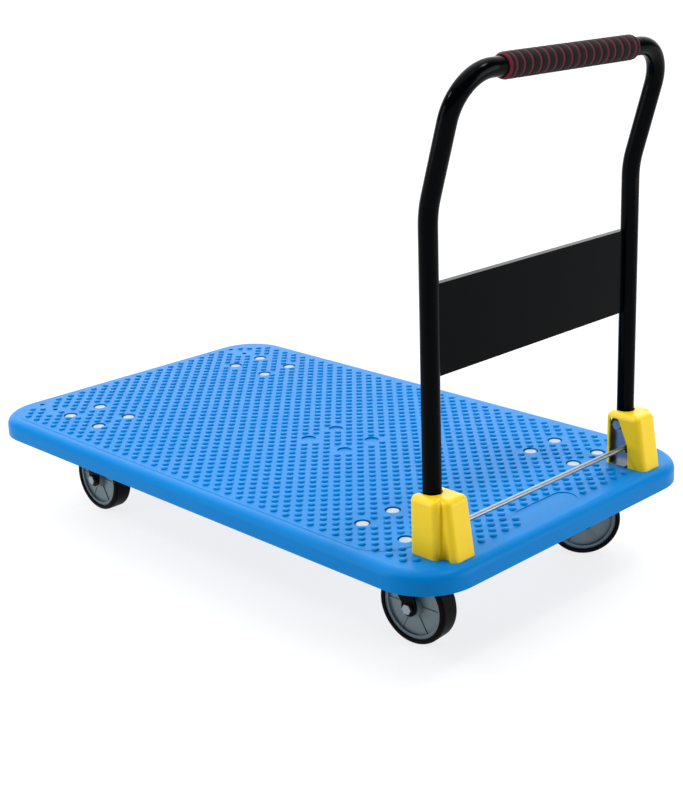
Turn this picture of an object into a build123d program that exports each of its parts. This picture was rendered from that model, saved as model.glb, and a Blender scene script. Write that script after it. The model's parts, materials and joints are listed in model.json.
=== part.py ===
"""Folding platform cart: moulded deck, fold-down tube handle, foot release and four casters.

Millimetres. +X runs to the handle end, +Y across the deck, +Z up.
The origin is on the floor below the middle of the deck.
Left is -Y, as seen by the person who pushes.
"""

import os
from math import cos, radians, sin

from build123d import *

# ---------------------------------------------------------------- driving dimensions
deck_length = 1000.0
deck_width = 594.0
deck_depth = 30.0
deck_corner_radius = 80.0
deck_edge_radius = 14.0
deck_skin = 5.0
deck_wall = 6.0
load_field_rise = 0.4
load_field_inset = 20.0
load_field_setback = 95.0
load_field_corner_radius = 60.0
rib_thickness = 4.0
cells_long = 11
cells_wide = 7

caster_inset_x = 157.0
caster_inset_y = 115.0
plate_length = 105.0
plate_width = 85.0
plate_thickness = 3.0
plate_corner_radius = 8.0
plate_holes_x = 80.0
plate_holes_y = 60.0
seat_depth = 10.0
seat_clearance = 2.0
seat_corner_radius = 5.0
seat_rim = 5.0

wheel_radius = 55.0
wheel_headroom = 19.0
tyre_width = 32.0
tyre_thickness = 7.5
tyre_shoulder = 5.0
hub_width = 34.0
hub_boss_radius = 15.0
hub_rim_thickness = 5.0
hub_rim_width = 26.0
hub_web = 18.0
hub_ribs = 6
hub_rib_thickness = 2.0
hub_rib_rise = 1.5
bearing_radius = 10.0
sleeve_radius = 6.0
running_clearance = 0.05
fork_side_clearance = 2.0
fork_thickness = 3.0
fork_end_radius = 12.0
trail = 30.0
left_swivel_angle = 5.0
right_swivel_angle = 44.0
crown_radius = 33.0
race_radius = 25.0
race_band = 14.0
race_height = 4.5
crown_to_plate = 10.0
swivel_cheek_half = 24.0
fixed_cheek_half = 30.0
ball_radius = 2.45
ball_count = 20
king_pin_radius = 5.0
king_head_radius = 10.0
king_head_height = 4.0
king_nut_height = 7.0
king_nut_across_flats = 17.0
king_pin_tail = 2.0
race_gap = 0.3

handle_tube = 25.0
handle_wall = 1.6
handle_side_inset = 85.0
handle_inset = 69.0
kink_height = 443.0
handle_rise = 612.0
handle_lean = 50.0
kink_radius = 130.0
top_bend_radius = 60.0
grip_end_gap = 17.0
grip_radius = 16.8
grip_taper = 8.0
panel_low = 230.0
panel_high = 350.0
panel_sheet = 1.5
panel_flange = 10.0

pivot_height = 60.0
pivot_radius = 4.0
bush_wall = 1.5
pivot_nut_height = 5.0
pivot_tail = 0.5
tube_tail = 27.2
bracket_thickness = 3.0
bracket_gap = 1.0
bracket_before = 13.0
bracket_behind = 26.0
bracket_tail = 46.0
bracket_tail_width = 19.0
bracket_eye_radius = 13.0
bracket_tab = 4.0
bracket_tab_length = 26.0
bracket_tab_behind = 8.0
bracket_shoulder = 3.0
bracket_bolt_before = 3.0
bracket_bolt_behind = 36.0
rod_radius = 3.5
rod_height = 30.0
rod_gap = 0.3
rod_travel = 8.0
rod_slot_clearance = 0.4
rod_overhang = 3.0
spring_radius = 4.2
spring_wire = 0.6
spring_turns = 6

cover_wall = 2.5
cover_height = 80.0
cover_front_gap = 2.0
cover_top_behind = 40.0
cover_foot_behind = 53.0
cover_outer_gap = 2.5
cover_inner_gap = 1.7
cover_step = 10.0
cover_step_behind = 30.0
cover_edge_radius = 9.0
cover_flute_radius = 8.0
cover_flute_top_radius = 1.5
cover_flute_height = 62.0
cover_flute_x = 37.0
cover_flute_offset = 4.0
cover_slot_clearance = 1.5
window_rim = 8.0
window_top_behind = 6.0
window_waist_behind = 22.0
window_foot_behind = 24.0
window_waist_rise = 5.0
window_corner_radius = 4.0

bolt_radius = 4.0
bolt_hole_clearance = 0.4
bolt_head_radius = 10.0
bolt_head_height = 3.2
bolt_recess_radius = 11.5
bolt_recess_depth = 3.8
dimple_x = 45.0
dimple_depth = 1.6
label_recess_inset = 49.0
label_recess_length = 36.0
label_recess_width = 112.0
label_recess_radius = 17.0
label_recess_depth = 1.0
nut_across_flats = 13.0
nut_height = 6.5
hex_head_height = 5.3
thread_tail = 4.0
axle_tail = 2.0

# ---------------------------------------------------------------- worked-out places
crown_z = 2 * wheel_radius + wheel_headroom
race_z = crown_z + race_height
plate_z = crown_z + crown_to_plate
seat_z = plate_z + plate_thickness
deck_bottom = seat_z - seat_depth
deck_top = deck_bottom + deck_depth
load_field_z = deck_top + load_field_rise
load_field_length = deck_length - load_field_inset - load_field_setback
load_field_width = deck_width - 2 * load_field_inset
load_field_x = (load_field_inset - load_field_setback) / 2
label_recess_x = deck_length / 2 - label_recess_inset
caster_x = deck_length / 2 - caster_inset_x
caster_y = deck_width / 2 - caster_inset_y
axle_z = wheel_radius
fork_gap = hub_width / 2 + fork_side_clearance
tyre_inner = wheel_radius - tyre_thickness
pivot_x = deck_length / 2 - handle_inset
pivot_z = deck_top + pivot_height
tube_radius = handle_tube / 2
handle_half_spacing = deck_width / 2 - handle_side_inset
grip_length = 2 * (handle_half_spacing - top_bend_radius - grip_end_gap)
bracket_half = tube_radius + bracket_gap
bracket_ear_out = bracket_half + bracket_thickness
cover_front = tube_radius + cover_front_gap + cover_wall
cover_inner = bracket_ear_out + hex_head_height + cover_inner_gap + cover_wall
cover_outer = bracket_ear_out + pivot_nut_height + pivot_tail + cover_outer_gap + cover_wall
cover_flute_out = cover_outer - cover_step + cover_flute_offset
rod_x = pivot_x + tube_radius + rod_radius + rod_gap
rod_z = deck_top + rod_height
bolt_hole_radius = bolt_radius + bolt_hole_clearance
bracket_bolt_xs = (pivot_x - bracket_bolt_before, pivot_x + bracket_bolt_behind)
sides = {"left": -1, "right": 1}
ends = {"swivel": 1, "fixed": -1}
swivel_angles = {"left": left_swivel_angle, "right": right_swivel_angle}

os.makedirs("parts", exist_ok=True)


def save(piece, name):
    """Labels a finished piece and writes its STEP file."""
    piece.label = name
    export_step(piece, f"parts/{name}.step")


def caster_spots():
    """Centres of the four caster plates."""
    return [(ex * caster_x, sy * caster_y) for ex in ends.values() for sy in sides.values()]


def caster_bolt_spots():
    """Centres of the sixteen caster bolts."""
    half_x, half_y = plate_holes_x / 2, plate_holes_y / 2
    return [
        (cx + dx * half_x, cy + dy * half_y)
        for cx, cy in caster_spots()
        for dx in (-1, 1)
        for dy in (-1, 1)
    ]


def bracket_bolt_spots():
    """Centres of the bolts that hold the two hinge brackets."""
    return [(x, sy * handle_half_spacing) for sy in sides.values() for x in bracket_bolt_xs]


def spare_hole_spots():
    """Centres of the open holes for a second handle at the far end."""
    return [(-x, y) for x, y in bracket_bolt_spots()]


def dimple_spots():
    """Centres of the four shallow dimples moulded in the middle of the deck."""
    half_x, half_y = plate_holes_x / 2, plate_holes_y / 2
    return [(dimple_x + dx * half_x, dy * half_y) for dx in (-1, 1) for dy in (-1, 1)]


# ---------------------------------------------------------------- deck
def make_deck():
    """Moulded platform: domed edge, ribbed underside, seats for casters and hinges."""
    with BuildPart() as deck:
        with BuildSketch(Plane.XY.offset(deck_bottom)):
            RectangleRounded(deck_length, deck_width, deck_corner_radius)
        extrude(amount=deck_depth)
        fillet(deck.edges().group_by(Axis.Z)[-1], deck_edge_radius)
        with BuildSketch(Plane.XY.offset(deck_top)):
            with Locations((load_field_x, 0)):
                RectangleRounded(load_field_length, load_field_width, load_field_corner_radius)
        extrude(amount=load_field_rise)
        cell_x = (deck_length - 2 * deck_wall) / cells_long
        cell_y = (deck_width - 2 * deck_wall) / cells_wide
        with BuildSketch(Plane.XY.offset(deck_bottom)):
            inner_radius = deck_corner_radius - deck_wall
            RectangleRounded(deck_length - 2 * deck_wall, deck_width - 2 * deck_wall, inner_radius)
            with GridLocations(cell_x, 0, cells_long - 1, 1):
                Rectangle(rib_thickness, deck_width, mode=Mode.SUBTRACT)
            with GridLocations(0, cell_y, 1, cells_wide - 1):
                Rectangle(deck_length, rib_thickness, mode=Mode.SUBTRACT)
            with Locations(*caster_spots()):
                pad_margin = 2 * (seat_clearance + seat_rim)
                Rectangle(plate_length + pad_margin, plate_width + pad_margin, mode=Mode.SUBTRACT)
            with Locations(*bracket_bolt_spots(), *spare_hole_spots()):
                Circle(nut_across_flats, mode=Mode.SUBTRACT)
        extrude(amount=deck_depth - deck_skin, mode=Mode.SUBTRACT)
        with BuildSketch(Plane.XY.offset(deck_bottom)):
            with Locations(*caster_spots()):
                seat_length = plate_length + 2 * seat_clearance
                seat_width = plate_width + 2 * seat_clearance
                RectangleRounded(seat_length, seat_width, seat_corner_radius)
        extrude(amount=seat_depth, mode=Mode.SUBTRACT)
        with BuildSketch(Plane.XY.offset(seat_z)):
            with Locations(*[(caster_x, sy * caster_y) for sy in sides.values()]):
                Circle(king_head_radius + 2)
        extrude(amount=king_head_height + 1, mode=Mode.SUBTRACT)
        with BuildSketch(Plane.XY.offset(load_field_z)):
            with Locations(*caster_bolt_spots()):
                Circle(bolt_recess_radius)
        extrude(amount=-load_field_rise - bolt_recess_depth, mode=Mode.SUBTRACT)
        with BuildSketch(Plane.XY.offset(load_field_z)):
            with Locations(*dimple_spots()):
                Circle(bolt_recess_radius)
        extrude(amount=-load_field_rise - dimple_depth, mode=Mode.SUBTRACT)
        with BuildSketch(Plane.XY.offset(deck_top)):
            with Locations((label_recess_x, 0)):
                RectangleRounded(label_recess_length, label_recess_width, label_recess_radius)
        extrude(amount=-label_recess_depth, mode=Mode.SUBTRACT)
        with BuildSketch(Plane.XY.offset(deck_bottom)):
            with Locations(*caster_bolt_spots(), *bracket_bolt_spots(), *spare_hole_spots()):
                Circle(bolt_hole_radius)
        extrude(amount=deck_depth + load_field_rise, mode=Mode.SUBTRACT)
    return deck.part


# ---------------------------------------------------------------- fasteners
def hexagon(across_flats):
    """Adds a hexagon by its width across flats."""
    RegularPolygon(across_flats / 2, 6, major_radius=False)


def make_caster_bolts():
    """Mushroom-head bolts from the deck's top through the caster plates."""
    seat = deck_top - bolt_recess_depth
    tip = plate_z - nut_height - thread_tail
    with BuildPart() as bolts:
        with BuildSketch(Plane.XY.offset(tip)):
            with Locations(*caster_bolt_spots()):
                Circle(bolt_radius)
        extrude(amount=seat - tip)
        with BuildSketch(Plane.XY.offset(seat)):
            with Locations(*caster_bolt_spots()):
                Circle(bolt_head_radius)
        extrude(amount=bolt_head_height)
        fillet(bolts.edges().group_by(Axis.Z)[-1], bolt_head_height * 0.7)
    return bolts.part


def make_nuts(spots, top_z, hole_radius):
    """Hexagon nuts below a face."""
    with BuildPart() as nuts:
        with BuildSketch(Plane.XY.offset(top_z - nut_height)):
            with Locations(*spots):
                hexagon(nut_across_flats)
                Circle(hole_radius, mode=Mode.SUBTRACT)
        extrude(amount=nut_height)
    return nuts.part


def make_bracket_bolts():
    """Hexagon bolts from the bracket's base down through the deck."""
    seat = deck_top + bracket_thickness
    tip = deck_bottom - nut_height - thread_tail
    with BuildPart() as bolts:
        with BuildSketch(Plane.XY.offset(tip)):
            with Locations(*bracket_bolt_spots()):
                Circle(bolt_radius)
        extrude(amount=seat - tip)
        with BuildSketch(Plane.XY.offset(seat)):
            with Locations(*bracket_bolt_spots()):
                hexagon(nut_across_flats)
        extrude(amount=hex_head_height)
    return bolts.part


# ---------------------------------------------------------------- hinge
def make_bracket(side):
    """Steel bracket: a base with two upright ears that carry the pivot and guide the rod."""
    y = side * handle_half_spacing
    base_low = pivot_x - bracket_before
    ear_end = pivot_x + bracket_behind
    with BuildPart() as bracket:
        with BuildSketch(Plane.XY.offset(deck_top)):
            with Locations(((base_low + ear_end) / 2, y)):
                Rectangle(ear_end - base_low, 2 * bracket_ear_out)
            with Locations((pivot_x + bracket_tail / 2, y)):
                Rectangle(bracket_tail, bracket_tail_width)
            inner_edge = y - side * (cover_inner + bracket_tab)
            outer_edge = y - side * bracket_ear_out
            with Locations((pivot_x + bracket_tab_behind, (inner_edge + outer_edge) / 2)):
                Rectangle(bracket_tab_length, abs(outer_edge - inner_edge))
        extrude(amount=bracket_thickness)
        for face_y in (y - bracket_ear_out, y + bracket_half):
            with BuildSketch(Plane.XZ.offset(-face_y)):
                with BuildLine():
                    Polyline(
                        (base_low, deck_top),
                        (base_low, pivot_z),
                        (pivot_x, pivot_z),
                        (pivot_x + bracket_eye_radius, pivot_z),
                        (ear_end, rod_z + bracket_shoulder),
                        (ear_end, deck_top),
                        close=True,
                    )
                make_face()
                with Locations((pivot_x, pivot_z)):
                    Circle(bracket_eye_radius)
            extrude(amount=-bracket_thickness)
        with BuildSketch(Plane.XZ.offset(-y)):
            with Locations((pivot_x, pivot_z)):
                Circle(pivot_radius + running_clearance)
            with Locations((rod_x, rod_z - rod_travel / 2)):
                slot_radius = rod_radius + rod_slot_clearance
                SlotCenterToCenter(rod_travel, 2 * slot_radius, rotation=90)
        extrude(amount=2 * bracket_ear_out, both=True, mode=Mode.SUBTRACT)
        with BuildSketch(Plane.XY.offset(deck_top)):
            with Locations(*[(x, y) for x in bracket_bolt_xs]):
                Circle(bolt_hole_radius)
        extrude(amount=bracket_thickness, mode=Mode.SUBTRACT)
    return bracket.part


def make_pivot_bolts():
    """Two pivot bolts, head towards the middle of the cart."""
    with BuildPart() as bolts:
        for side in sides.values():
            inner = side * (handle_half_spacing - bracket_ear_out)
            with BuildSketch(Plane.XZ.offset(-inner)):
                with Locations((pivot_x, pivot_z)):
                    Circle(pivot_radius)
            extrude(amount=-side * (2 * bracket_ear_out + pivot_nut_height + pivot_tail))
            with BuildSketch(Plane.XZ.offset(-inner)):
                with Locations((pivot_x, pivot_z)):
                    hexagon(nut_across_flats)
            extrude(amount=side * hex_head_height)
    return bolts.part


def make_pivot_nuts():
    """Two thin nuts on the outer ears."""
    with BuildPart() as nuts:
        for side in sides.values():
            outer = side * (handle_half_spacing + bracket_ear_out)
            with BuildSketch(Plane.XZ.offset(-outer)):
                with Locations((pivot_x, pivot_z)):
                    hexagon(nut_across_flats)
                    Circle(pivot_radius, mode=Mode.SUBTRACT)
            extrude(amount=-side * pivot_nut_height)
    return nuts.part


def cover_block(outline, inner_y, outer_y, radius):
    """A rounded block with a side outline, between two faces across the cart."""
    with BuildPart() as block:
        with BuildSketch(Plane.XZ.offset(-(inner_y + outer_y) / 2)):
            with BuildLine():
                Polyline(*outline, close=True)
            make_face()
        extrude(amount=abs(outer_y - inner_y) / 2, both=True)
        fillet(block.edges().filter_by(lambda e: e.center().Z > deck_top + 1), radius)
    return block.part


def cover_form(side, inset):
    """The cover's outer form, or its hollow when inset by the wall: housing and set-back tail."""
    y = side * handle_half_spacing
    inner_y = y - side * (cover_inner - inset)
    outer_y = y + side * (cover_outer - inset)
    front = pivot_x - cover_front + inset
    top = deck_top + cover_height - inset
    radius = cover_edge_radius - inset
    housing_end = pivot_x + cover_step_behind - inset
    tail_top = pivot_x + cover_top_behind - inset
    tail_foot = pivot_x + cover_foot_behind - inset
    housing = [(front, deck_top), (front, top), (housing_end, top), (housing_end, deck_top)]
    tail = [(front, deck_top), (front, top), (tail_top, top), (tail_foot, deck_top)]
    with BuildPart() as form:
        add(cover_block(housing, inner_y, outer_y, radius))
        add(cover_block(tail, inner_y, outer_y - side * cover_step, radius))
        height = cover_flute_height + inset
        with Locations((pivot_x + cover_flute_x, y + side * cover_flute_out, deck_top + height / 2)):
            Cone(
                cover_flute_radius + inset,
                cover_flute_top_radius + inset,
                height,
                mode=Mode.SUBTRACT,
            )
    return form.part


def make_cover(side):
    """Moulded hinge cover: open below, slotted for the tube, with a window inboard."""
    y = side * handle_half_spacing
    inner_y = y - side * cover_inner
    slot = tube_radius + cover_slot_clearance
    with BuildPart() as cover:
        add(cover_form(side, 0))
        add(cover_form(side, cover_wall), mode=Mode.SUBTRACT)
        with BuildSketch(Plane.XY.offset(deck_top + pivot_height - slot)):
            with Locations((pivot_x, y)):
                Circle(slot)
            with Locations((pivot_x - cover_front / 2 - 2, y)):
                Rectangle(cover_front + 4, 2 * slot)
        extrude(amount=cover_height, mode=Mode.SUBTRACT)
        with BuildSketch(Plane.XZ.offset(-(inner_y - side))):
            with BuildLine():
                Polyline(
                    (pivot_x - cover_front + window_rim, deck_top),
                    (pivot_x - cover_front + window_rim, deck_top + cover_height - window_rim),
                    (pivot_x + window_top_behind, deck_top + cover_height - window_rim),
                    (pivot_x + window_waist_behind, rod_z + window_waist_rise),
                    (pivot_x + window_foot_behind, deck_top),
                    close=True,
                )
            make_face()
            fillet(vertices().group_by(Axis.Y)[-1], window_corner_radius)
        extrude(amount=-side * (cover_wall + 2), mode=Mode.SUBTRACT)
    return cover.part


def make_release_rod():
    """Foot bar across both brackets."""
    half = handle_half_spacing + bracket_ear_out + rod_overhang
    with BuildPart() as rod:
        with BuildSketch(Plane.XZ):
            with Locations((rod_x, rod_z)):
                Circle(rod_radius)
        extrude(amount=half, both=True)
        chamfer(rod.edges(), 0.8)
    return rod.part


def make_spring(side):
    """Compression spring that holds the foot bar up."""
    low = deck_top + bracket_thickness + spring_wire
    length = rod_z - rod_radius - spring_wire - low
    base = Plane(origin=(rod_x, side * handle_half_spacing, low))
    with BuildPart() as spring:
        with BuildLine(base):
            coil = Helix(pitch=length / spring_turns, height=length, radius=spring_radius)
        with BuildSketch(Plane(origin=coil @ 0, z_dir=coil % 0)):
            RegularPolygon(spring_wire, 8)
        sweep(path=coil, is_frenet=True)
    return spring.part


# ---------------------------------------------------------------- handle
def handle_points():
    """Corners of the handle's centre line, from the left foot to the right foot."""
    foot_z = pivot_z - tube_tail
    kink_z = deck_top + kink_height
    bar_z = deck_top + handle_rise
    bar_x = pivot_x + handle_lean
    y = handle_half_spacing
    return [
        (pivot_x, -y, foot_z),
        (pivot_x, -y, kink_z),
        (bar_x, -y, bar_z),
        (bar_x, y, bar_z),
        (pivot_x, y, kink_z),
        (pivot_x, y, foot_z),
    ]


def make_handle_tube():
    """Bent tube with the pivot holes through its two feet."""
    points = handle_points()
    radii = [kink_radius, top_bend_radius, top_bend_radius, kink_radius]
    with BuildPart() as tube:
        with BuildLine() as route:
            FilletPolyline(*points, radius=radii)
        with BuildSketch(Plane(origin=points[0], z_dir=(0, 0, 1))):
            Circle(tube_radius)
            Circle(tube_radius - handle_wall, mode=Mode.SUBTRACT)
        sweep(path=route.wires()[0])
        with BuildSketch(Plane.XZ):
            with Locations((pivot_x, pivot_z)):
                Circle(pivot_radius + running_clearance + bush_wall)
        extrude(amount=deck_width, both=True, mode=Mode.SUBTRACT)
    return tube.part


def make_pivot_bushes():
    """Sleeves through the tube's feet that turn on the pivot bolts."""
    with BuildPart() as bushes:
        for side in sides.values():
            with BuildSketch(Plane.XZ.offset(-side * handle_half_spacing)):
                with Locations((pivot_x, pivot_z)):
                    Circle(pivot_radius + running_clearance + bush_wall)
                    Circle(pivot_radius + running_clearance, mode=Mode.SUBTRACT)
            extrude(amount=tube_radius, both=True)
    return bushes.part


def make_tube_plugs():
    """Plastic plugs that close the tube's feet."""
    foot_z = pivot_z - tube_tail
    spots = [(pivot_x, sy * handle_half_spacing) for sy in sides.values()]
    with BuildPart() as plugs:
        with BuildSketch(Plane.XY.offset(foot_z)):
            with Locations(*spots):
                Circle(tube_radius - handle_wall)
        extrude(amount=12)
        with BuildSketch(Plane.XY.offset(foot_z)):
            with Locations(*spots):
                Circle(tube_radius)
        extrude(amount=-1.5)
    return plugs.part


def make_grip():
    """Foam sleeve on the cross bar, with tapered ends."""
    bar = Plane(origin=(pivot_x + handle_lean, 0, deck_top + handle_rise), z_dir=(0, 1, 0))
    with BuildPart() as grip:
        with BuildSketch(bar):
            Circle(grip_radius)
        extrude(amount=grip_length / 2, both=True)
        chamfer(grip.edges().filter_by(GeomType.CIRCLE), grip_taper, grip_radius - tube_radius - 1.2)
        with BuildSketch(bar):
            Circle(tube_radius)
        extrude(amount=grip_length / 2, both=True, mode=Mode.SUBTRACT)
    return grip.part


def make_panel():
    """Sheet-metal panel between the legs, with folded lips above and below."""
    half = handle_half_spacing - tube_radius
    low, high = deck_top + panel_low, deck_top + panel_high
    face = pivot_x + panel_sheet / 2
    with BuildPart() as panel:
        with BuildSketch(Plane.XZ):
            with Locations((pivot_x, (low + high) / 2)):
                Rectangle(panel_sheet, high - low)
            for z in (low + panel_sheet / 2, high - panel_sheet / 2):
                with Locations((face - panel_flange / 2, z)):
                    Rectangle(panel_flange, panel_sheet)
        extrude(amount=half, both=True)
    return panel.part


# ---------------------------------------------------------------- casters
def turned(angle):
    """Unit direction of a swivel's trail."""
    return Vector(cos(radians(angle)), sin(radians(angle)), 0)


def make_plate(x, y):
    """Swivel caster's top plate with the upper ball race."""
    with BuildPart() as plate:
        with BuildSketch(Plane.XY.offset(plate_z)):
            with Locations((x, y)):
                RectangleRounded(plate_length, plate_width, plate_corner_radius)
        extrude(amount=plate_thickness)
        with BuildSketch(Plane.XY.offset(race_z + race_gap / 2)):
            with Locations((x, y)):
                Circle(crown_radius)
                Circle(crown_radius - race_band, mode=Mode.SUBTRACT)
        extrude(amount=plate_z - race_z - race_gap / 2)
        with Locations((x, y, race_z)):
            Torus(race_radius, ball_radius + running_clearance, mode=Mode.SUBTRACT)
        with BuildSketch(Plane.XY.offset(plate_z)):
            with Locations((x, y)):
                Circle(king_pin_radius)
                with GridLocations(plate_holes_x, plate_holes_y, 2, 2):
                    Circle(bolt_hole_radius)
        extrude(amount=plate_thickness, mode=Mode.SUBTRACT)
    return plate.part


def make_balls(x, y):
    """Ring of steel balls between the two races."""
    with BuildPart() as balls:
        with Locations((x, y, race_z)):
            with PolarLocations(race_radius, ball_count):
                Sphere(ball_radius)
    return balls.part


def make_king_pins():
    """Flanged pins that hold each swivel fork to its plate."""
    spots = [(caster_x, sy * caster_y) for sy in sides.values()]
    tip = crown_z - race_gap - king_nut_height - king_pin_tail
    with BuildPart() as pins:
        with BuildSketch(Plane.XY.offset(tip)):
            with Locations(*spots):
                Circle(king_pin_radius)
        extrude(amount=seat_z - tip)
        with BuildSketch(Plane.XY.offset(seat_z)):
            with Locations(*spots):
                Circle(king_head_radius)
        extrude(amount=king_head_height)
    return pins.part


def make_king_nuts():
    """Nuts below the swivel forks."""
    spots = [(caster_x, sy * caster_y) for sy in sides.values()]
    with BuildPart() as nuts:
        with BuildSketch(Plane.XY.offset(crown_z - race_gap - king_nut_height)):
            with Locations(*spots):
                hexagon(king_nut_across_flats)
                Circle(king_pin_radius, mode=Mode.SUBTRACT)
        extrude(amount=king_nut_height)
    return nuts.part


def fork_cheeks(centre, along, top_z, reach, top_half):
    """The two side plates of a fork, with their bores for the axle bolt."""
    across = Vector(-along.Y, along.X, 0)
    with BuildPart() as cheeks:
        for sign in (-1, 1):
            start = centre + across * (sign * (fork_gap + fork_thickness / 2))
            with BuildSketch(Plane(origin=start, x_dir=along, z_dir=across * -1)):
                with BuildLine():
                    Polyline(
                        (-top_half, top_z),
                        (top_half, top_z),
                        (reach + fork_end_radius, axle_z + 6),
                        (reach + fork_end_radius, axle_z),
                        (reach - fork_end_radius, axle_z),
                        (reach - fork_end_radius, axle_z + 6),
                        close=True,
                    )
                make_face()
                with Locations((reach, axle_z)):
                    Circle(fork_end_radius)
                    Circle(bolt_radius, mode=Mode.SUBTRACT)
            extrude(amount=fork_thickness / 2, both=True)
    return cheeks.part


def make_swivel_fork(x, y, angle):
    """Pressed fork that turns below the plate and carries the wheel behind the king pin."""
    with BuildPart() as fork:
        with BuildSketch(Plane.XY.offset(crown_z)):
            with Locations((x, y)):
                Circle(crown_radius)
        extrude(amount=fork_thickness)
        with BuildSketch(Plane.XY.offset(crown_z + fork_thickness)):
            with Locations((x, y)):
                Circle(crown_radius)
                Circle(crown_radius - race_band, mode=Mode.SUBTRACT)
        extrude(amount=race_z - race_gap / 2 - crown_z - fork_thickness)
        add(fork_cheeks(Vector(x, y, 0), turned(angle), crown_z + 1, trail, swivel_cheek_half))
        with Locations((x, y, race_z)):
            Torus(race_radius, ball_radius + running_clearance, mode=Mode.SUBTRACT)
        with BuildSketch(Plane.XY.offset(crown_z)):
            with Locations((x, y)):
                Circle(king_pin_radius + running_clearance)
        extrude(amount=fork_thickness, mode=Mode.SUBTRACT)
    return fork.part


def make_fixed_fork(x, y):
    """Pressed fork whose top plate bolts straight to the deck."""
    with BuildPart() as fork:
        with BuildSketch(Plane.XY.offset(plate_z)):
            with Locations((x, y)):
                RectangleRounded(plate_length, plate_width, plate_corner_radius)
        extrude(amount=plate_thickness)
        add(fork_cheeks(Vector(x, y, 0), Vector(1, 0, 0), plate_z + 1, 0, fixed_cheek_half))
        with BuildSketch(Plane.XY.offset(plate_z)):
            with Locations((x, y)):
                with GridLocations(plate_holes_x, plate_holes_y, 2, 2):
                    Circle(bolt_hole_radius)
        extrude(amount=plate_thickness, mode=Mode.SUBTRACT)
    return fork.part


def axle_plane(centre, along):
    """Plane across an axle, at the wheel's middle."""
    return Plane(origin=centre, x_dir=along, z_dir=Vector(-along.Y, along.X, 0))


def make_tyre(wheel):
    """Rubber tyre with rounded shoulders."""
    with BuildPart() as tyre:
        with BuildSketch(wheel):
            Circle(wheel_radius)
        extrude(amount=tyre_width / 2, both=True)
        fillet(tyre.edges().filter_by(GeomType.CIRCLE), tyre_shoulder)
        with BuildSketch(wheel):
            Circle(tyre_inner)
        extrude(amount=tyre_width / 2, both=True, mode=Mode.SUBTRACT)
    return tyre.part


def make_hub(wheel):
    """Moulded hub: rim, web with radial ribs, and a boss bored for the roller cage."""
    with BuildPart() as hub:
        with BuildSketch(wheel):
            Circle(tyre_inner)
            Circle(tyre_inner - hub_rim_thickness, mode=Mode.SUBTRACT)
        extrude(amount=hub_rim_width / 2, both=True)
        with BuildSketch(wheel):
            Circle(tyre_inner - hub_rim_thickness / 2)
        extrude(amount=hub_web / 2, both=True)
        with BuildSketch(wheel):
            with PolarLocations((tyre_inner - hub_rim_thickness / 2) / 2, hub_ribs):
                Rectangle(tyre_inner - hub_rim_thickness / 2, hub_rib_thickness)
        extrude(amount=hub_web / 2 + hub_rib_rise, both=True)
        with BuildSketch(wheel):
            Circle(hub_boss_radius)
        extrude(amount=hub_width / 2, both=True)
        with BuildSketch(wheel):
            Circle(bearing_radius)
        extrude(amount=hub_width / 2, both=True, mode=Mode.SUBTRACT)
    return hub.part


def make_bearing(wheel):
    """Plain bearing sleeve pressed into the hub."""
    with BuildPart() as bearing:
        with BuildSketch(wheel):
            Circle(bearing_radius)
            Circle(sleeve_radius + running_clearance, mode=Mode.SUBTRACT)
        extrude(amount=hub_width / 2, both=True)
    return bearing.part


def make_axle_sleeves(wheels):
    """Steel sleeves clamped between the fork's cheeks."""
    with BuildPart() as sleeves:
        for wheel in wheels:
            with BuildSketch(wheel):
                Circle(sleeve_radius)
                Circle(bolt_radius, mode=Mode.SUBTRACT)
            extrude(amount=fork_gap, both=True)
    return sleeves.part


def make_axle_bolts(wheels):
    """Axle bolts with their heads on the left cheek."""
    reach = fork_gap + fork_thickness
    with BuildPart() as bolts:
        for wheel in wheels:
            with BuildSketch(wheel.offset(-reach)):
                Circle(bolt_radius)
            extrude(amount=2 * reach + nut_height + axle_tail)
            with BuildSketch(wheel.offset(-reach)):
                hexagon(nut_across_flats)
            extrude(amount=-hex_head_height)
    return bolts.part


def make_axle_nuts(wheels):
    """Lock nuts on the right cheek."""
    with BuildPart() as nuts:
        for wheel in wheels:
            with BuildSketch(wheel.offset(fork_gap + fork_thickness)):
                hexagon(nut_across_flats)
                Circle(bolt_radius, mode=Mode.SUBTRACT)
            extrude(amount=nut_height)
    return nuts.part


def make_wheel(wheel, name):
    """Writes the three pieces of one wheel."""
    save(make_tyre(wheel), f"{name}_tyre")
    save(make_hub(wheel), f"{name}_hub")
    save(make_bearing(wheel), f"{name}_bearing")


# ---------------------------------------------------------------- write every piece
save(make_deck(), "deck")
save(make_caster_bolts(), "caster_bolts")
save(make_nuts(caster_bolt_spots(), plate_z, bolt_radius), "caster_nuts")
save(make_bracket_bolts(), "bracket_bolts")
save(make_nuts(bracket_bolt_spots(), deck_bottom, bolt_radius), "bracket_nuts")
save(make_pivot_bolts(), "pivot_bolts")
save(make_pivot_nuts(), "pivot_nuts")
save(make_release_rod(), "release_rod")
save(make_handle_tube(), "handle_tube")
save(make_pivot_bushes(), "pivot_bushes")
save(make_tube_plugs(), "tube_plugs")
save(make_grip(), "foam_grip")
save(make_panel(), "handle_panel")
save(make_king_pins(), "king_pins")
save(make_king_nuts(), "king_nuts")

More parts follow.
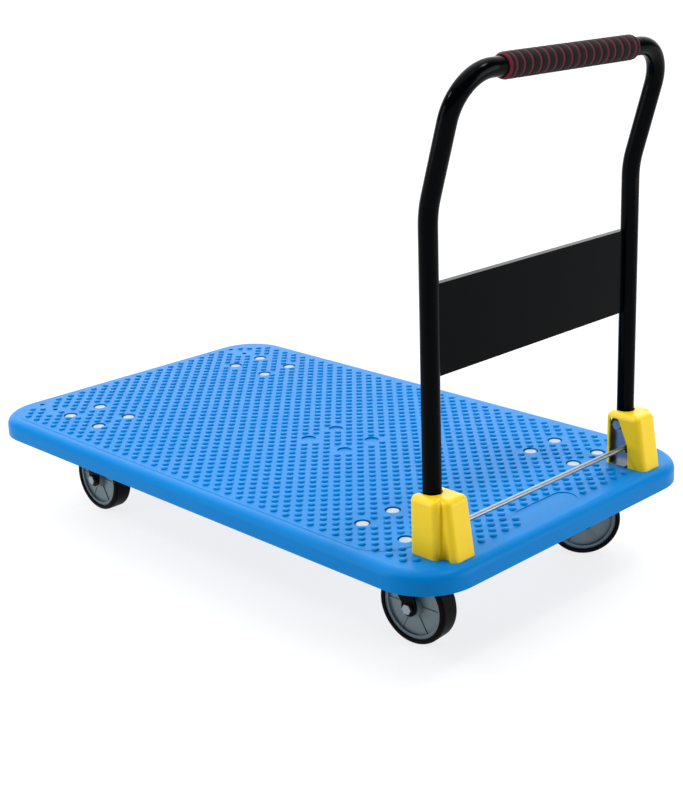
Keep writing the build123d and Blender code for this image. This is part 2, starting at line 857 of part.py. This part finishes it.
fixed_wheels = []
for side_name, side_sign in sides.items():
    save(make_bracket(side_sign), f"hinge_bracket_{side_name}")
    save(make_cover(side_sign), f"hinge_cover_{side_name}")
    save(make_spring(side_sign), f"release_spring_{side_name}")

    swivel_y = side_sign * caster_y
    angle_now = swivel_angles[side_name]
    heading = turned(angle_now)
    swivel_wheel = axle_plane(Vector(caster_x, swivel_y, axle_z) + heading * trail, heading)
    save(make_plate(caster_x, swivel_y), f"swivel_plate_{side_name}")
    save(make_balls(caster_x, swivel_y), f"swivel_balls_{side_name}")
    save(make_swivel_fork(caster_x, swivel_y, angle_now), f"swivel_fork_{side_name}")
    save(make_axle_sleeves([swivel_wheel]), f"swivel_axle_sleeve_{side_name}")
    save(make_axle_bolts([swivel_wheel]), f"swivel_axle_bolt_{side_name}")
    save(make_axle_nuts([swivel_wheel]), f"swivel_axle_nut_{side_name}")
    make_wheel(swivel_wheel, f"swivel_wheel_{side_name}")

    fixed_wheel = axle_plane(Vector(-caster_x, swivel_y, axle_z), Vector(1, 0, 0))
    fixed_wheels.append(fixed_wheel)
    save(make_fixed_fork(-caster_x, swivel_y), f"fixed_fork_{side_name}")
    make_wheel(fixed_wheel, f"fixed_wheel_{side_name}")

save(make_axle_sleeves(fixed_wheels), "fixed_axle_sleeves")
save(make_axle_bolts(fixed_wheels), "fixed_axle_bolts")
save(make_axle_nuts(fixed_wheels), "fixed_axle_nuts")
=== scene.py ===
"""Looks of the folding platform cart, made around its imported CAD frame.

Metres, in the frame of the CAD: +X runs to the handle end, +Y across the deck, +Z up.
"""

import json
from math import hypot, radians

import bmesh
import bpy
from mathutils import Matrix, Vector


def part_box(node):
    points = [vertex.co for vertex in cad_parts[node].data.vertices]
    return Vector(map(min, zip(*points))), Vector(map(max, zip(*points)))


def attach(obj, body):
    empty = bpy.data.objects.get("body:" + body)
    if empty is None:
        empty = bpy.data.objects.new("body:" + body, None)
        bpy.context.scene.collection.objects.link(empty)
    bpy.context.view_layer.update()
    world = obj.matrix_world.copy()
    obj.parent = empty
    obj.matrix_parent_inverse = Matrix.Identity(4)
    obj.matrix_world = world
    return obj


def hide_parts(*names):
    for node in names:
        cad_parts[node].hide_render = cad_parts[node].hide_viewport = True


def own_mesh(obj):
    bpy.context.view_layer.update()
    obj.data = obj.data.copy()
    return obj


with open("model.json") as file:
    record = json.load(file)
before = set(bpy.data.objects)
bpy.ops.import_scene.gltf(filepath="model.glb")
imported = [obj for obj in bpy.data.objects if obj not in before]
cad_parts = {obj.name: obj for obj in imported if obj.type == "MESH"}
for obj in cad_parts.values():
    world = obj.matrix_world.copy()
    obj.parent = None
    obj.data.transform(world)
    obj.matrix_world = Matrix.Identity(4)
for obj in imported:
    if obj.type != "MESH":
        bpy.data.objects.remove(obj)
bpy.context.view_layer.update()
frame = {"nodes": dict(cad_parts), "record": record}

# ---------------------------------------------------------------- sizes and places
MM = 0.001

DECK_TOP = 162 * MM
STUD_PITCH = 24.5 * MM
STUD_RADIUS = 5.5 * MM
STUD_TOP_RADIUS = 5.1 * MM
STUD_HEIGHT = 2.9 * MM
STUD_SINK = 0.3 * MM
STUD_ROUNDING = 2.4 * MM
STUD_START = Vector((-3.4, -5.5)) * MM
STUD_EDGE_GAP = 27 * MM
STUD_FIELD_CORNER = 60 * MM
STUD_ROUND_GAP = 17 * MM
STUD_COVER_GAP = 9 * MM
CASTER_BOLT_SPACING = (80 * MM, 60 * MM)
CASTER_BOLT_RADIUS = 10 * MM
MIDDLE_ROUNDS_X = (5 * MM, 85 * MM)
MIDDLE_ROUNDS_Y = (-30 * MM, 30 * MM)
FAR_HOLES_X = (-467 * MM, -428 * MM)
FAR_HOLES_Y = (-212 * MM, 212 * MM)
OVAL_RECESS_X = (428 * MM, 473 * MM)
OVAL_RECESS_Y = (-61 * MM, 61 * MM)

GRIP_RINGS = 17
GRIP_END_RINGS = 0.6
GRIP_BANDS = 180
GRIP_GROOVE_DEPTH = 1.2 * MM
GRIP_GROOVE_WIDTH = 4.0 * MM
GRIP_TAPER = 8 * MM
GRIP_END_DROP = 3.4 * MM
GRIP_BORE_RADIUS = 12.4 * MM

SPRING_WIRE = 0.6 * MM
SPRING_TURNS = 6

CAMERA_PLACE = (1.6032, -1.5009, 0.9522)
CAMERA_TURN = (73.952, 1.834, 45.344)
CAMERA_LENS = 65.85
CAMERA_SHIFT_DOWN = 0.08

deck_low, deck_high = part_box("deck")
grip_low, grip_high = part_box("foam_grip")
bolts_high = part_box("caster_bolts")[1]


# ---------------------------------------------------------------- working by hand in code
def only(piece):
    """Selects one object and makes it the one that operators act on."""
    bpy.ops.object.select_all(action="DESELECT")
    piece.select_set(True)
    bpy.context.view_layer.objects.active = piece


def pick(kind, wanted):
    """In edit mode, selects the parts of one kind whose middle passes the test."""
    bpy.ops.mesh.select_mode(type=kind)
    bpy.ops.mesh.select_all(action="DESELECT")
    mesh = bmesh.from_edit_mesh(bpy.context.object.data)
    for part in {"EDGE": mesh.edges, "FACE": mesh.faces}[kind]:
        middle = sum((corner.co for corner in part.verts), Vector()) / len(part.verts)
        part.select_set(wanted(middle, part))
    mesh.select_flush_mode()
    bmesh.update_edit_mesh(bpy.context.object.data)


def settle(piece, angle):
    """Puts a piece's place into its mesh, and smooths the edges that bend less than the angle."""
    only(piece)
    bpy.ops.object.transform_apply(location=True, rotation=True, scale=True)
    bpy.ops.object.shade_smooth_by_angle(angle=radians(angle))
    return piece


def joined(pieces, name):
    """Joins pieces into one object of that name."""
    only(pieces[0])
    for piece in pieces:
        piece.select_set(True)
    bpy.ops.object.join()
    piece = bpy.context.object
    piece.name = name
    piece.data.name = name
    return piece


def finished(piece, body, slot, replaced=()):
    """Gives a piece its body and its finish, and hides the CAD nodes that it stands for."""
    piece.data.materials.clear()
    piece.data.materials.append(finishes[slot])
    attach(piece, body)
    if replaced:
        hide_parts(*replaced)
    return piece


# ---------------------------------------------------------------- materials
def linear(hex_code):
    """An sRGB hex colour as linear red, green, blue and alpha."""
    channels = [int(hex_code[i : i + 2], 16) / 255 for i in (0, 2, 4)]
    return [c / 12.92 if c <= 0.04045 else ((c + 0.055) / 1.055) ** 2.4 for c in channels] + [1]


def node(tree, kind, inputs=None, **settings):
    """Adds a shader node with its settings, input values and links."""
    added = tree.nodes.new("ShaderNode" + kind)
    for setting, value in settings.items():
        setattr(added, setting, value)
    for socket, value in (inputs or {}).items():
        if isinstance(value, bpy.types.NodeSocket):
            tree.links.new(value, added.inputs[socket])
        else:
            added.inputs[socket].default_value = value
    return added


def per_metre(size_mm):
    """The scale that gives a pattern cells of this size in millimetres."""
    return 1000 / size_mm


def finish(name, **values):
    """Starts a material: returns it, its node tree, its shader and its object coordinates."""
    material = bpy.data.materials.new(name)
    material.use_nodes = True
    tree = material.node_tree
    shader = tree.nodes["Principled BSDF"]
    for socket, value in values.items():
        shader.inputs[socket.replace("_", " ")].default_value = value
    place = node(tree, "TexCoord").outputs["Object"]
    return material, tree, shader, place


def dress(tree, shader, mottle, colours, rough, relief):
    """Mottles a shader between two colours and two roughnesses, and gives it a relief."""
    dark, light = colours
    low, high = rough
    colour = node(
        tree,
        "Mix",
        {0: mottle.outputs["Fac"], 6: linear(dark), 7: linear(light)},
        data_type="RGBA",
    )
    gloss = node(
        tree,
        "MapRange",
        {
            "Value": mottle.outputs["Fac"],
            "From Min": 0.3,
            "From Max": 0.7,
            "To Min": low,
            "To Max": high,
        },
    )
    pattern, strength, depth = relief
    bump = node(
        tree,
        "Bump",
        {"Height": pattern.outputs["Fac"], "Strength": strength, "Distance": depth},
    )
    tree.links.new(colour.outputs[2], shader.inputs["Base Color"])
    tree.links.new(gloss.outputs["Result"], shader.inputs["Roughness"])
    tree.links.new(bump.outputs["Normal"], shader.inputs["Normal"])


def moulded_polypropylene_blue():
    """Injection-moulded polypropylene: a waxy half gloss, with faint flow marks in the colour.

    Its spark-eroded grain is about 0.1 mm, and is drawn at 1.1 mm so that it shows.
    """
    material, tree, shader, place = finish(
        "moulded_polypropylene_blue", IOR=1.49, Specular_IOR_Level=0.06
    )
    flow = node(tree, "TexNoise", {"Vector": place, "Scale": per_metre(111), "Detail": 3})
    grain = node(tree, "TexNoise", {"Vector": place, "Scale": per_metre(1.1), "Detail": 2})
    dress(tree, shader, flow, ("006cb2", "0076bc"), (0.3, 0.4), (grain, 0.12, 0.2 * MM))
    return material


def moulded_abs_yellow():
    """Injection-moulded ABS: a smooth, slightly glossy skin with barely visible sink marks."""
    material, tree, shader, place = finish(
        "moulded_abs_yellow", IOR=1.53, Specular_IOR_Level=0.25
    )
    sink = node(tree, "TexNoise", {"Vector": place, "Scale": per_metre(25), "Detail": 2})
    dress(tree, shader, sink, ("dfbd08", "e4c410"), (0.28, 0.36), (sink, 0.06, 1 * MM))
    return material


def powder_coated_steel_black():
    """Gloss powder coat on steel: deep black, its highlights broken by a 3 mm orange peel."""
    material, tree, shader, place = finish(
        "powder_coated_steel_black", IOR=1.52, Specular_IOR_Level=0.03
    )
    peel = node(tree, "TexNoise", {"Vector": place, "Scale": per_metre(3), "Detail": 2})
    wear = node(
        tree,
        "TexNoise",
        {"Vector": place, "Scale": per_metre(40), "Detail": 6, "Roughness": 0.7},
    )
    dress(tree, shader, wear, ("010203", "030406"), (0.1, 0.18), (peel, 0.06, 0.3 * MM))
    return material


def nitrile_foam_two_tone():
    """Moulded nitrile foam: a matt black skin, cut into rings that show the wine-red foam below.

    The red shows where the surface lies a little under the skin, and not on the ends, which are
    black again. The cells are about 0.3 mm, and are drawn at 0.7 mm so that they show.
    """
    material, tree, shader, place = finish(
        "nitrile_foam_two_tone",
        IOR=1.45,
        Roughness=0.78,
        Sheen_Weight=0.02,
        Specular_IOR_Level=0.15,
    )
    bar_x = (grip_low.x + grip_high.x) / 2
    bar_z = (grip_low.z + grip_high.z) / 2
    skin = (grip_high.z - grip_low.z) / 2
    centred = node(
        tree, "Mapping", {"Vector": place, "Location": (-bar_x, 0, -bar_z), "Scale": (1, 0, 1)}
    )
    radius = node(tree, "VectorMath", {0: centred.outputs["Vector"]}, operation="LENGTH")
    below_skin = node(
        tree,
        "MapRange",
        {
            "Value": radius.outputs["Value"],
            "From Min": skin - 0.35 * MM,
            "From Max": skin - 0.9 * MM,
        },
    )
    above_end = node(
        tree,
        "MapRange",
        {
            "Value": radius.outputs["Value"],
            "From Min": skin - 2.9 * MM,
            "From Max": skin - 2.4 * MM,
        },
    )
    in_ring = node(
        tree,
        "Math",
        {0: below_skin.outputs["Result"], 1: above_end.outputs["Result"]},
        operation="MULTIPLY",
    )
    cells = node(tree, "TexVoronoi", {"Vector": place, "Scale": per_metre(0.7)})
    blotch = node(tree, "TexNoise", {"Vector": place, "Scale": per_metre(8.3), "Detail": 3})
    tones = []
    for dark, light in (("040506", "08090b"), ("5a1224", "762238")):
        tone = node(
            tree,
            "Mix",
            {0: blotch.outputs["Fac"], 6: linear(dark), 7: linear(light)},
            data_type="RGBA",
        )
        tones.append(tone.outputs[2])
    colour = node(
        tree, "Mix", {0: in_ring.outputs[0], 6: tones[0], 7: tones[1]}, data_type="RGBA"
    )
    bump = node(
        tree,
        "Bump",
        {"Height": cells.outputs["Distance"], "Strength": 0.35, "Distance": 0.3 * MM},
    )
    tree.links.new(colour.outputs[2], shader.inputs["Base Color"])
    tree.links.new(bump.outputs["Normal"], shader.inputs["Normal"])
    return material


def plain_finish(name, dark, light, rough, grain_mm, grain_strength, **values):
    """A finish of two near colours mottled together, with an even grain in its surface.

    The real grains are a tenth of a millimetre or less, and are drawn coarser so that they show.
    """
    material, tree, shader, place = finish(name, **values)
    mottle = node(
        tree,
        "TexNoise",
        {"Vector": place, "Scale": per_metre(16.7), "Detail": 5, "Roughness": 0.65},
    )
    grain = node(tree, "TexNoise", {"Vector": place, "Scale": per_metre(grain_mm), "Detail": 2})
    relief = (grain, grain_strength, 0.3 * MM)
    dress(tree, shader, mottle, (dark, light), (rough - 0.05, rough + 0.05), relief)
    return material


finishes = {
    "deck_plastic": moulded_polypropylene_blue(),
    "cover_plastic": moulded_abs_yellow(),
    "black_powder_coat": powder_coated_steel_black(),
    "grip_foam": nitrile_foam_two_tone(),
    # Pressed-in polyethylene plugs: soft black plastic with a low, even shine.
    "black_plastic": plain_finish(
        "moulded_polyethylene_black", "0c0d0f", "15161a", 0.45, 0.6, 0.15, IOR=1.51
    ),
    # Electro-coated pressed steel: thin satin black paint that follows the sheet.
    "black_steel": plain_finish(
        "electrocoated_steel_black",
        "020304",
        "050609",
        0.36,
        0.9,
        0.1,
        IOR=1.5,
        Specular_IOR_Level=0.04,
    ),
    # Thermoplastic rubber tyre: near black and matt, so that it shows little but its outline.
    "tyre_rubber": plain_finish(
        "moulded_tyre_rubber",
        "020203",
        "050506",
        0.5,
        0.8,
        0.25,
        IOR=1.5,
        Specular_IOR_Level=0.05,
    ),
    # Moulded grey polypropylene hub: satin, with a slight cloudiness from the regrind in it.
    "hub_plastic": plain_finish(
        "moulded_polypropylene_grey", "58696f", "687a80", 0.42, 0.7, 0.12, IOR=1.49
    ),
    # Acetal bearing: milky white and slick.
    "bearing_plastic": plain_finish(
        "turned_acetal_white", "d8d8d2", "e8e7e2", 0.3, 0.5, 0.05, IOR=1.48
    ),
    # Drawn spring wire with an oil-dark skin.
    "spring_steel": plain_finish(
        "drawn_spring_steel", "6f7276", "85888c", 0.3, 0.4, 0.08, Metallic=1.0
    ),
    # Ground bearing balls: close to a mirror.
    "ball_steel": plain_finish(
        "ground_ball_steel", "b8babd", "c6c8ca", 0.12, 0.4, 0.02, Metallic=1.0
    ),
    # Zinc plating gone slightly dull: grey silver with a fine cloudy spangle.
    "zinc_steel": plain_finish(
        "zinc_plated_steel", "7c858e", "969ea6", 0.36, 0.9, 0.1, Metallic=1.0
    ),
}

slot_of = {part["node"]: part["material_slot"] for part in frame["record"]["subparts"]}
for name, cad_node in frame["nodes"].items():
    cad_node.data.materials.clear()
    cad_node.data.materials.append(finishes[slot_of[name]])


# ---------------------------------------------------------------- deck studs
def in_rounded_box(x, y, low_x, high_x, low_y, high_y, radius):
    """Whether a point is inside a rectangle with rounded corners."""
    dx = max(low_x + radius - x, x - high_x + radius, 0)
    dy = max(low_y + radius - y, y - high_y + radius, 0)
    return low_x <= x <= high_x and low_y <= y <= high_y and hypot(dx, dy) <= radius


def round_fittings():
    """Centres of the caster bolts, the middle rounds and the far holes, which have no studs."""
    bolt_x = bolts_high.x - CASTER_BOLT_RADIUS
    bolt_y = bolts_high.y - CASTER_BOLT_RADIUS
    space_x, space_y = CASTER_BOLT_SPACING
    rounds = [
        (end * (bolt_x - dx), side * (bolt_y - dy))
        for end in (-1, 1)
        for side in (-1, 1)
        for dx in (0, space_x)
        for dy in (0, space_y)
    ]
    rounds += [(x, y) for x in MIDDLE_ROUNDS_X for y in MIDDLE_ROUNDS_Y]
    rounds += [(x, y) for x in FAR_HOLES_X for y in FAR_HOLES_Y]
    return rounds


def stud_spots():
    """Centres of the studs: two square grids set half a pitch apart, clear of every fitting."""
    gap = STUD_EDGE_GAP
    field = (deck_low.x + gap, deck_high.x - gap, deck_low.y + gap, deck_high.y - gap)
    blocked = [(*OVAL_RECESS_X, *OVAL_RECESS_Y)]
    for name in ("hinge_cover_left", "hinge_cover_right"):
        low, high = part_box(name)
        gap = STUD_COVER_GAP
        blocked.append((low.x - gap, high.x + gap, low.y - gap, high.y + gap))
    rounds = round_fittings()
    half = STUD_PITCH / 2
    spots = []
    for i in range(-45, 46):
        for j in range(-30, 31):
            x = STUD_START.x + i * half
            y = STUD_START.y + j * half
            on_grid = (i + j) % 2 == 0
            on_field = in_rounded_box(x, y, *field, STUD_FIELD_CORNER)
            under = any(b[0] < x < b[1] and b[2] < y < b[3] for b in blocked)
            near = any(hypot(x - a, y - b) < STUD_ROUND_GAP for a, b in rounds)
            if on_grid and on_field and not under and not near:
                spots.append((x, y))
    return spots


def make_studs():
    """Low domed studs: one is modelled, and the rest are copies of it."""
    bpy.ops.object.select_all(action="DESELECT")
    bpy.ops.mesh.primitive_cylinder_add(
        vertices=12, radius=STUD_RADIUS, depth=STUD_HEIGHT + STUD_SINK, end_fill_type="NGON"
    )
    stud = bpy.context.object
    bpy.ops.object.mode_set(mode="EDIT")
    pick("FACE", lambda middle, face: face.normal.z < -0.5)
    bpy.ops.mesh.delete(type="ONLY_FACE")
    pick("FACE", lambda middle, face: face.normal.z > 0.5)
    share = STUD_TOP_RADIUS / STUD_RADIUS
    bpy.ops.transform.resize(value=(share, share, 1))
    bpy.ops.mesh.bevel(offset=STUD_ROUNDING, segments=3, affect="EDGES")
    bpy.ops.object.mode_set(mode="OBJECT")
    studs = []
    for x, y in stud_spots():
        copy = stud.copy()
        copy.data = stud.data.copy()
        copy.location = (x, y, DECK_TOP + (STUD_HEIGHT - STUD_SINK) / 2)
        bpy.context.collection.objects.link(copy)
        studs.append(copy)
    bpy.data.objects.remove(stud)
    return settle(joined(studs, "deck_studs"), 50)


# ---------------------------------------------------------------- foam grip
def make_grip():
    """Foam sleeve with ring grooves and rounded ends, turned from a tube of many short bands."""
    middle = (grip_low + grip_high) / 2
    length = grip_high.y - grip_low.y
    radius = (grip_high.z - grip_low.z) / 2
    bpy.ops.object.select_all(action="DESELECT")
    bpy.ops.mesh.primitive_cylinder_add(
        vertices=48,
        radius=radius,
        depth=length,
        end_fill_type="NOTHING",
        location=middle,
        rotation=(radians(90), 0, 0),
    )
    grip = bpy.context.object
    bpy.ops.object.transform_apply(location=True, rotation=True, scale=True)
    bpy.ops.object.mode_set(mode="EDIT")
    pick("EDGE", lambda at, edge: abs(edge.verts[0].co.y - edge.verts[1].co.y) > length / 2)
    bpy.ops.mesh.subdivide(number_cuts=GRIP_BANDS - 1)
    spacing = length / (GRIP_RINGS + GRIP_END_RINGS)
    mesh = bmesh.from_edit_mesh(grip.data)
    for vert in mesh.verts:
        along = vert.co.y - middle.y
        to_groove = abs((along / spacing + (GRIP_RINGS % 2) / 2) % 1 - 0.5) * spacing
        to_end = length / 2 - abs(along)
        groove = max(0, 1 - (to_groove / (GRIP_GROOVE_WIDTH / 2)) ** 2)
        taper = max(0, 1 - to_end / GRIP_TAPER) ** 2
        shrink = max(groove * GRIP_GROOVE_DEPTH, taper * GRIP_END_DROP)
        share = (radius - shrink) / radius
        vert.co.x = middle.x + (vert.co.x - middle.x) * share
        vert.co.z = middle.z + (vert.co.z - middle.z) * share
    bmesh.update_edit_mesh(grip.data)
    for end in (-1, 1):
        at_end = middle.y + end * length / 2
        pick("EDGE", lambda at, edge: abs(at.y - at_end) < 0.01 * MM)
        bpy.ops.mesh.extrude_edges_move()
        share = GRIP_BORE_RADIUS / (radius - GRIP_END_DROP)
        bpy.ops.transform.resize(
            value=(share, 1, share), center_override=(middle.x, at_end, middle.z)
        )
    bpy.ops.mesh.select_all(action="SELECT")
    bpy.ops.mesh.normals_make_consistent(inside=False)
    bpy.ops.object.mode_set(mode="OBJECT")
    grip.name = "ribbed_foam_grip"
    return settle(grip, 60)


# ---------------------------------------------------------------- release springs
def make_spring(name, low, high):
    """Coil of round wire under the foot bar: one ring of wire, screwed upwards turn by turn."""
    coil_radius = (high.y - low.y) / 2 - SPRING_WIRE
    coil_height = high.z - low.z - 2 * SPRING_WIRE
    bpy.ops.object.select_all(action="DESELECT")
    bpy.ops.mesh.primitive_circle_add(
        vertices=8,
        radius=SPRING_WIRE,
        location=(coil_radius, 0, 0),
        rotation=(radians(90), 0, 0),
    )
    spring = bpy.context.object
    bpy.ops.object.transform_apply(location=True, rotation=True, scale=True)
    coil = spring.modifiers.new("coil", "SCREW")
    coil.axis = "Z"
    coil.angle = radians(360)
    coil.screw_offset = coil_height / SPRING_TURNS
    coil.iterations = SPRING_TURNS
    coil.steps = 24
    coil.render_steps = 24
    bpy.ops.object.modifier_apply(modifier=coil.name)
    bpy.ops.object.mode_set(mode="EDIT")
    bpy.ops.mesh.select_all(action="SELECT")
    bpy.ops.mesh.remove_doubles(threshold=0.001 * MM)
    bpy.ops.mesh.fill_holes(sides=8)
    bpy.ops.mesh.select_all(action="SELECT")
    bpy.ops.mesh.normals_make_consistent(inside=False)
    bpy.ops.object.mode_set(mode="OBJECT")
    spring.location = ((low.x + high.x) / 2, (low.y + high.y) / 2, low.z + SPRING_WIRE)
    spring.name = name
    return settle(spring, 60)


finished(make_studs(), "cart", "deck_plastic")

grip = finished(make_grip(), "handle", "grip_foam", ["foam_grip"])

for side in ("left", "right"):
    cad_spring = "release_spring_" + side
    low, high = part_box(cad_spring)
    spring = make_spring("release_coil_" + side, low, high)
    finished(spring, "cart", "spring_steel", [cad_spring])
    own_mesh(spring)


# ---------------------------------------------------------------- floor, light and camera
def make_floor():
    """A wide sheet of white acrylic, lit from below as well, so that shadows on it stay pale."""
    bpy.ops.object.select_all(action="DESELECT")
    bpy.ops.mesh.primitive_plane_add(size=60, location=(0, 0, 0))
    floor = bpy.context.object
    floor.name = "studio_floor"
    material = finish(
        "backlit_opal_acrylic",
        Base_Color=linear("7c7c7c"),
        Roughness=0.9,
        Specular_IOR_Level=0.1,
        Emission_Color=linear("ffffff"),
        Emission_Strength=0.8,
    )[0]
    floor.data.materials.append(material)


def make_light(name, place, aim, size, power):
    """A square soft light at a place, facing a point."""
    bpy.ops.object.light_add(type="AREA", location=place)
    light = bpy.context.object
    light.name = name
    light.rotation_euler = (Vector(aim) - Vector(place)).to_track_quat("-Z", "Y").to_euler()
    light.data.size = size
    light.data.energy = power


def make_overhead():
    """A very soft light from above, even over the whole floor."""
    bpy.ops.object.light_add(type="SUN", location=(0, 0, 4), rotation=(radians(2), radians(-8), 0))
    overhead = bpy.context.object
    overhead.name = "soft_overhead"
    overhead.data.energy = 2.0
    overhead.data.angle = radians(75)


def make_studio_walls():
    """The room around: a plain white backdrop that lights the cart most from behind."""
    world = bpy.data.worlds.new("studio_walls")
    world.use_nodes = True
    tree = world.node_tree
    direction = node(tree, "TexCoord").outputs["Generated"]
    behind = Vector((-0.62, 0.60, 0.5)).normalized()
    facing = node(tree, "VectorMath", {0: direction, 1: behind}, operation="DOT_PRODUCT")
    glow = node(
        tree,
        "MapRange",
        {
            "Value": facing.outputs["Value"],
            "From Min": 0.4,
            "From Max": 0.95,
            "To Min": 0.15,
            "To Max": 2.3,
        },
        interpolation_type="SMOOTHSTEP",
    )
    seen = node(tree, "LightPath").outputs["Is Camera Ray"]
    strength = node(tree, "Mix", {0: seen, 2: glow.outputs["Result"], 3: 1.0}, data_type="FLOAT")
    tree.links.new(strength.outputs[0], tree.nodes["Background"].inputs["Strength"])
    tree.nodes["Background"].inputs["Color"].default_value = linear("ffffff")
    bpy.context.scene.world = world


def make_camera():
    """The camera that the scene is seen through."""
    turn = [radians(angle) for angle in CAMERA_TURN]
    bpy.ops.object.camera_add(location=CAMERA_PLACE, rotation=turn)
    camera = bpy.context.object
    camera.data.lens = CAMERA_LENS
    camera.data.sensor_width = 36
    camera.data.shift_y = -CAMERA_SHIFT_DOWN
    bpy.context.scene.camera = camera


make_floor()
make_overhead()
make_studio_walls()
make_light("highlight_left", (-1.4, -2.2, 2.6), (0.3, 0, 0.6), 0.45, 34)
make_light("side_left", (-1.6, -2.7, 0.9), (0, -0.2, 0.15), 1.6, 34)
make_light("side_right", (3.0, 1.6, 0.8), (0.5, 0.1, 0.2), 1.6, 44)
make_light("highlight_top", (1.3, 0.6, 2.6), (0.4, 0, 0.7), 0.4, 18)
make_camera()

bpy.context.scene.view_settings.view_transform = "Standard"
